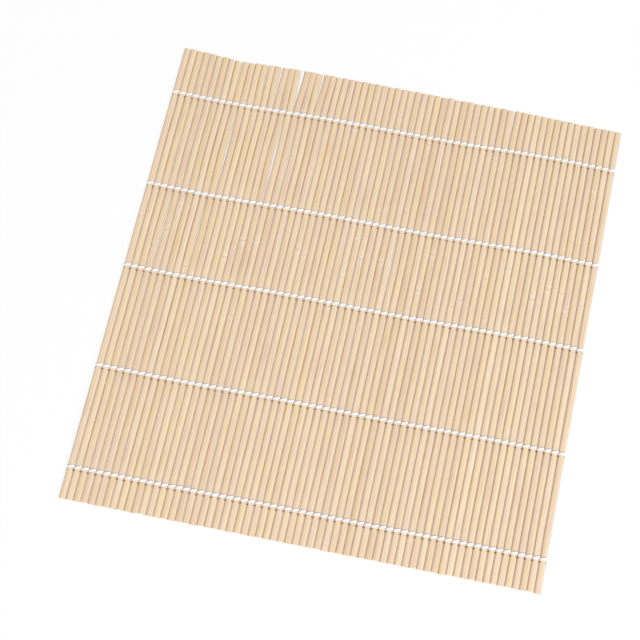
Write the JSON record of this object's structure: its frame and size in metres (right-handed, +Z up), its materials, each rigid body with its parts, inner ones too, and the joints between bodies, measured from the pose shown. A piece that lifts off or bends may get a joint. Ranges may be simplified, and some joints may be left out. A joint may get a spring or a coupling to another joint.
{
  "type": "rolling mat",
  "caption": "Square mat of flat bamboo slats, twined together by rows of cotton twine. It bends between the slats and rolls up.",
  "frame": {"origin": "middle of the mat, on the surface that it lies on", "axes": "+X along the rows of twine, +Y along the slats, +Z up through the mat"},
  "size_m": [0.24, 0.2524, 0.0026],
  "materials": {
    "bamboo": "bare split bamboo, sanded",
    "twine": "matt twisted cotton"
  },
  "bodies": {
    "segment_01": {"slats_01": "bamboo", "twine_01": "twine"},
    "segment_02": {"slats_02": "bamboo", "twine_02": "twine"},
    "segment_03": {"slats_03": "bamboo", "twine_03": "twine"},
    "segment_04": {"slats_04": "bamboo", "twine_04": "twine"},
    "segment_05": {"slats_05": "bamboo", "twine_05": "twine"},
    "segment_06": {"slats_06": "bamboo", "twine_06": "twine"},
    "segment_07": {"slats_07": "bamboo", "twine_07": "twine"},
    "segment_08": {"slats_08": "bamboo", "twine_08": "twine"},
    "segment_09": {"slats_09": "bamboo", "twine_09": "twine"},
    "segment_10": {"slats_10": "bamboo", "twine_10": "twine"},
    "segment_11": {"slats_11": "bamboo", "twine_11": "twine"},
    "segment_12": {"slats_12": "bamboo", "twine_12": "twine"},
    "segment_13": {"slats_13": "bamboo", "twine_13": "twine"},
    "segment_14": {"slats_14": "bamboo", "twine_14": "twine"},
    "segment_15": {"slats_15": "bamboo", "twine_15": "twine"},
    "segment_16": {"slats_16": "bamboo", "twine_16": "twine"},
    "segment_17": {"slats_17": "bamboo", "twine_17": "twine"},
    "segment_18": {"slats_18": "bamboo", "twine_18": "twine"},
    "segment_19": {"slats_19": "bamboo", "twine_19": "twine"},
    "segment_20": {"slats_20": "bamboo", "twine_20": "twine"},
    "segment_21": {"slats_21": "bamboo", "twine_21": "twine"},
    "segment_22": {"slats_22": "bamboo", "twine_22": "twine"},
    "segment_23": {"slats_23": "bamboo", "twine_23": "twine"},
    "segment_24": {"slats_24": "bamboo", "twine_24": "twine"},
    "segment_25": {"slats_25": "bamboo", "twine_25": "twine"},
    "segment_26": {"slats_26": "bamboo", "twine_26": "twine"},
    "segment_27": {"slats_27": "bamboo", "twine_27": "twine"},
    "segment_28": {"slats_28": "bamboo", "twine_28": "twine"},
    "segment_29": {"slats_29": "bamboo", "twine_29": "twine"},
    "segment_30": {"slats_30": "bamboo", "twine_30": "twine"}
  },
  "joints": [
    {"name": "bend_01", "type": "hinge", "parent": "segment_01", "child": "segment_02", "pos_m": [-0.1089, 0, 0.00132], "axis": [0, -1, 0], "range_deg": [-26.9, 26.9]},
    {"name": "bend_02", "type": "hinge", "parent": "segment_02", "child": "segment_03", "pos_m": [-0.09801, 0, 0.00132], "axis": [0, -1, 0], "range_deg": [-27.2, 27.2]},
    {"name": "bend_03", "type": "hinge", "parent": "segment_03", "child": "segment_04", "pos_m": [-0.08712, 0, 0.00132], "axis": [0, -1, 0], "range_deg": [-27.6, 27.6]},
    {"name": "bend_04", "type": "hinge", "parent": "segment_04", "child": "segment_05", "pos_m": [-0.07623, 0, 0.00132], "axis": [0, -1, 0], "range_deg": [-28, 28]},
    {"name": "bend_05", "type": "hinge", "parent": "segment_05", "child": "segment_06", "pos_m": [-0.06534, 0, 0.00132], "axis": [0, -1, 0], "range_deg": [-28.4, 28.4]},
    {"name": "bend_06", "type": "hinge", "parent": "segment_06", "child": "segment_07", "pos_m": [-0.05445, 0, 0.00132], "axis": [0, -1, 0], "range_deg": [-23.9, 23.9]},
    {"name": "bend_07", "type": "hinge", "parent": "segment_07", "child": "segment_08", "pos_m": [-0.04719, 0, 0.00132], "axis": [0, -1, 0], "range_deg": [-19.3, 19.3]},
    {"name": "bend_08", "type": "hinge", "parent": "segment_08", "child": "segment_09", "pos_m": [-0.03993, 0, 0.00132], "axis": [0, -1, 0], "range_deg": [-19.5, 19.5]},
    {"name": "bend_09", "type": "hinge", "parent": "segment_09", "child": "segment_10", "pos_m": [-0.03267, 0, 0.00132], "axis": [0, -1, 0], "range_deg": [-19.7, 19.7]},
    {"name": "bend_10", "type": "hinge", "parent": "segment_10", "child": "segment_11", "pos_m": [-0.02541, 0, 0.00132], "axis": [0, -1, 0], "range_deg": [-19.9, 19.9]},
    {"name": "bend_11", "type": "hinge", "parent": "segment_11", "child": "segment_12", "pos_m": [-0.01815, 0, 0.00132], "axis": [0, -1, 0], "range_deg": [-20.1, 20.1]},
    {"name": "bend_12", "type": "hinge", "parent": "segment_12", "child": "segment_13", "pos_m": [-0.01089, 0, 0.00132], "axis": [0, -1, 0], "range_deg": [-20.3, 20.3]},
    {"name": "bend_13", "type": "hinge", "parent": "segment_13", "child": "segment_14", "pos_m": [-0.00363, 0, 0.00132], "axis": [0, -1, 0], "range_deg": [-20.6, 20.6]},
    {"name": "bend_14", "type": "hinge", "parent": "segment_14", "child": "segment_15", "pos_m": [0.00363, 0, 0.00132], "axis": [0, -1, 0], "range_deg": [-20.8, 20.8]},
    {"name": "bend_15", "type": "hinge", "parent": "segment_15", "child": "segment_16", "pos_m": [0.01089, 0, 0.00132], "axis": [0, -1, 0], "range_deg": [-21, 21]},
    {"name": "bend_16", "type": "hinge", "parent": "segment_16", "child": "segment_17", "pos_m": [0.01815, 0, 0.00132], "axis": [0, -1, 0], "range_deg": [-21.3, 21.3]},
    {"name": "bend_17", "type": "hinge", "parent": "segment_17", "child": "segment_18", "pos_m": [0.02541, 0, 0.00132], "axis": [0, -1, 0], "range_deg": [-21.6, 21.6]},
    {"name": "bend_18", "type": "hinge", "parent": "segment_18", "child": "segment_19", "pos_m": [0.03267, 0, 0.00132], "axis": [0, -1, 0], "range_deg": [-21.8, 21.8]},
    {"name": "bend_19", "type": "hinge", "parent": "segment_19", "child": "segment_20", "pos_m": [0.03993, 0, 0.00132], "axis": [0, -1, 0], "range_deg": [-22.1, 22.1]},
    {"name": "bend_20", "type": "hinge", "parent": "segment_20", "child": "segment_21", "pos_m": [0.04719, 0, 0.00132], "axis": [0, -1, 0], "range_deg": [-22.4, 22.4]},
    {"name": "bend_21", "type": "hinge", "parent": "segment_21", "child": "segment_22", "pos_m": [0.05445, 0, 0.00132], "axis": [0, -1, 0], "range_deg": [-22.7, 22.7]},
    {"name": "bend_22", "type": "hinge", "parent": "segment_22", "child": "segment_23", "pos_m": [0.06171, 0, 0.00132], "axis": [0, -1, 0], "range_deg": [-23.1, 23.1]},
    {"name": "bend_23", "type": "hinge", "parent": "segment_23", "child": "segment_24", "pos_m": [0.06897, 0, 0.00132], "axis": [0, -1, 0], "range_deg": [-23.4, 23.4]},
    {"name": "bend_24", "type": "hinge", "parent": "segment_24", "child": "segment_25", "pos_m": [0.07623, 0, 0.00132], "axis": [0, -1, 0], "range_deg": [-23.7, 23.7]},
    {"name": "bend_25", "type": "hinge", "parent": "segment_25", "child": "segment_26", "pos_m": [0.08349, 0, 0.00132], "axis": [0, -1, 0], "range_deg": [-24.1, 24.1]},
    {"name": "bend_26", "type": "hinge", "parent": "segment_26", "child": "segment_27", "pos_m": [0.09075, 0, 0.00132], "axis": [0, -1, 0], "range_deg": [-24.5, 24.5]},
    {"name": "bend_27", "type": "hinge", "parent": "segment_27", "child": "segment_28", "pos_m": [0.09801, 0, 0.00132], "axis": [0, -1, 0], "range_deg": [-24.9, 24.9]},
    {"name": "bend_28", "type": "hinge", "parent": "segment_28", "child": "segment_29", "pos_m": [0.10527, 0, 0.00132], "axis": [0, -1, 0], "range_deg": [-25.3, 25.3]},
    {"name": "bend_29", "type": "hinge", "parent": "segment_29", "child": "segment_30", "pos_m": [0.11253, 0, 0.00132], "axis": [0, -1, 0], "range_deg": [-25.8, 25.8]}
  ]
}
